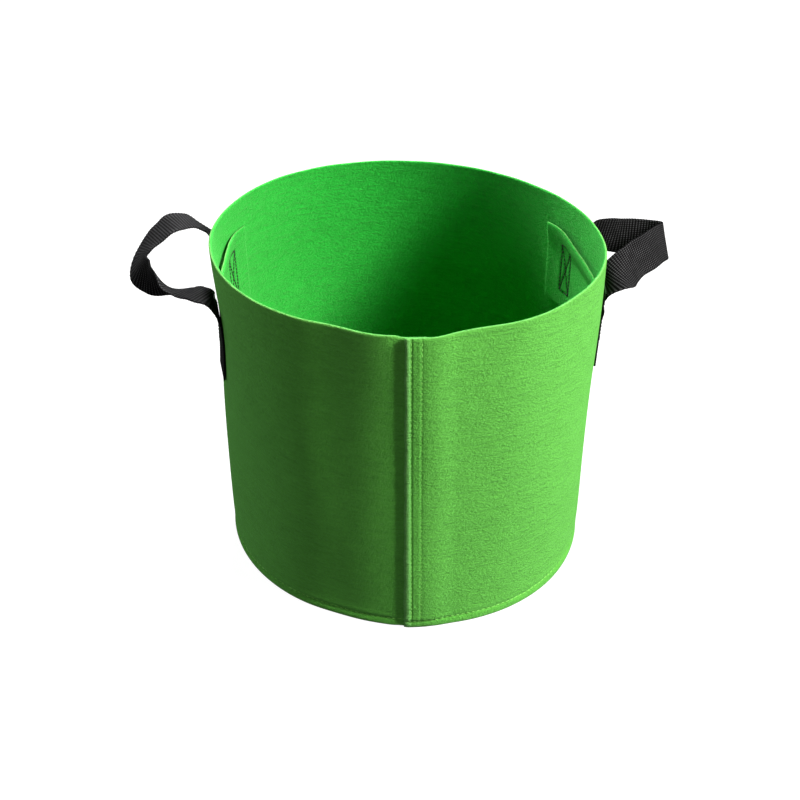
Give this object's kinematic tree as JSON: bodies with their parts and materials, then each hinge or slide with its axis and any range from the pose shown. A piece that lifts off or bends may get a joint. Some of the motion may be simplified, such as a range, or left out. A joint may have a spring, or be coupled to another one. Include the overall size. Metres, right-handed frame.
{
  "type": "fabric grow bag",
  "caption": "Round felt planting bag with a lapped front seam, a sewn-in base and two webbing carrying handles backed by inner patches.",
  "frame": {"origin": "middle of the underside of the base, on the ground", "axes": "-Z into the ground, -Y through the front lap seam, X from the left handle to the right one"},
  "size_m": [0.3598, 0.2556, 0.22],
  "materials": {
    "felt": "bright green needle-punched felt, matt and slightly fibrous",
    "webbing": "black woven polypropylene webbing with fine cross ribs",
    "thread": "green sewing thread",
    "dark_thread": "black sewing thread"
  },
  "bodies": {
    "bag": {"side_wall": "felt", "base_disc": "felt", "left_inner_patch": "felt", "right_inner_patch": "felt", "left_handle_tail_front": "webbing", "left_handle_tail_rear": "webbing", "right_handle_tail_front": "webbing", "right_handle_tail_rear": "webbing", "seam_thread_edge_outer": "thread", "seam_thread_edge_inner": "thread", "seam_thread_second_outer": "thread", "seam_thread_second_inner": "thread", "base_thread_outer": "thread", "base_thread_inner": "thread", "left_front_box_thread_outer": "dark_thread", "left_rear_box_thread_outer": "dark_thread", "right_front_box_thread_outer": "dark_thread", "right_rear_box_thread_outer": "dark_thread", "left_front_box_thread_inner": "thread", "left_rear_box_thread_inner": "thread", "right_front_box_thread_inner": "thread", "right_rear_box_thread_inner": "thread"},
    "left_handle": {"left_handle_loop": "webbing"},
    "right_handle": {"right_handle_loop": "webbing"}
  },
  "joints": [
    {"name": "left_handle_swing", "type": "hinge", "parent": "bag", "child": "left_handle", "pos_m": [-0.12874, 0.009, 0.1925], "axis": [0.0698, 0.9976, 0], "range_deg": [-60, 45]},
    {"name": "right_handle_swing", "type": "hinge", "parent": "bag", "child": "right_handle", "pos_m": [0.12779, 0.01796, 0.196], "axis": [0.1392, -0.9903, 0], "range_deg": [-60, 45]}
  ]
}
